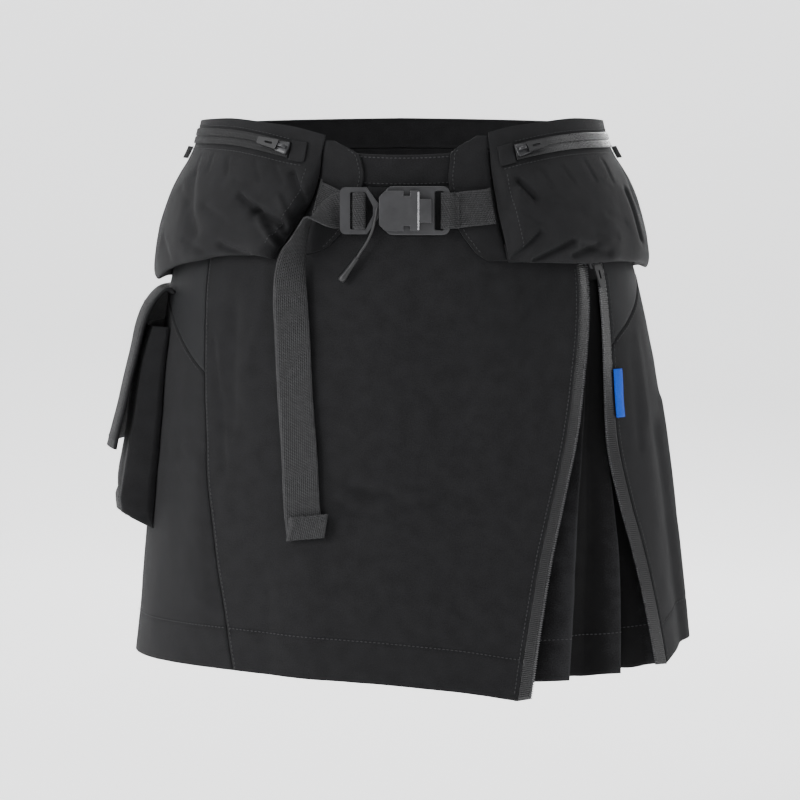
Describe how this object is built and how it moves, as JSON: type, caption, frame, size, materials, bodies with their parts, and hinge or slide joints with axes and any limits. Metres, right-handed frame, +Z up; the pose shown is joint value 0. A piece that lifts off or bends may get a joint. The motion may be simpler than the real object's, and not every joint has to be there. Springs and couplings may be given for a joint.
{
  "type": "pleated a-line skirt, worn form, with hip bags and belt",
  "caption": "Short a-line skirt in hollow worn form, with puffy zipped hip bags, buckled webbing belt, cargo pocket and a zip slit over a fanned pleated insert.",
  "frame": {"origin": "middle of the waist opening at the height of its side edges, where the wearer's waist holds the skirt", "axes": "+Z up, -Y the front, -X the wearer's right side, +X the wearer's left side with the zip slit"},
  "size_m": [0.4265, 0.2934, 0.4046],
  "materials": {
    "cloth": "black technical cloth, fine plain weave, matt",
    "smooth_cloth": "smooth black stretch cloth with a soft sheen",
    "zip_tape": "coated water-resistant zip tape, half glossy",
    "webbing": "dark grey ribbed nylon webbing",
    "hardware": "satin dark grey coated metal",
    "rubber": "matt black rubber",
    "label_blue": "plain woven blue label"
  },
  "bodies": {
    "root": {"front_panel": "cloth", "side_panel_right": "cloth", "side_panel_left": "cloth", "back_panel": "cloth", "waistband_front": "cloth", "waistband_back": "cloth", "pleated_insert": "cloth", "wing_right": "cloth", "wing_left": "cloth", "hip_bag_right": "cloth", "hip_bag_left": "cloth", "cargo_pocket": "cloth", "pocket_flap": "cloth", "yoke_right": "smooth_cloth", "yoke_left": "smooth_cloth", "bag_zip_right": "zip_tape", "bag_zip_left": "zip_tape", "zip_end_patch_right": "zip_tape", "zip_end_patch_left": "zip_tape", "slit_tape_right": "zip_tape", "slit_tape_left": "zip_tape", "side_tab_right": "webbing", "side_tab_left": "webbing", "belt_webbing_right": "webbing", "belt_webbing_left": "webbing", "belt_tip": "webbing", "buckle_frame": "hardware", "buckle_plate": "hardware", "buckle_base": "hardware", "bag_slider_right": "hardware", "bag_slider_left": "hardware", "slit_slider": "hardware", "release_cord": "rubber", "release_cord_end": "rubber", "side_label": "label_blue"},
    "bag_tab_right": {"bag_pull_tab_right": "rubber"},
    "bag_tab_left": {"bag_pull_tab_left": "rubber"},
    "slit_tab": {"slit_pull_tab": "rubber"}
  },
  "joints": [
    {"name": "bag_tab_right_swing", "type": "hinge", "parent": "root", "child": "bag_tab_right", "pos_m": [-0.08808, -0.09459, -0.01254], "axis": [0.3796, 0.3074, 0.8726], "range_deg": [0, 100]},
    {"name": "bag_tab_left_swing", "type": "hinge", "parent": "root", "child": "bag_tab_left", "pos_m": [0.08837, -0.09502, -0.01421], "axis": [0.3773, -0.3159, -0.8705], "range_deg": [0, 100]},
    {"name": "slit_tab_swing", "type": "hinge", "parent": "root", "child": "slit_tab", "pos_m": [0.13809, -0.07201, -0.09881], "axis": [-0.6987, -0.7072, -0.1082], "range_deg": [0, 45]}
  ]
}
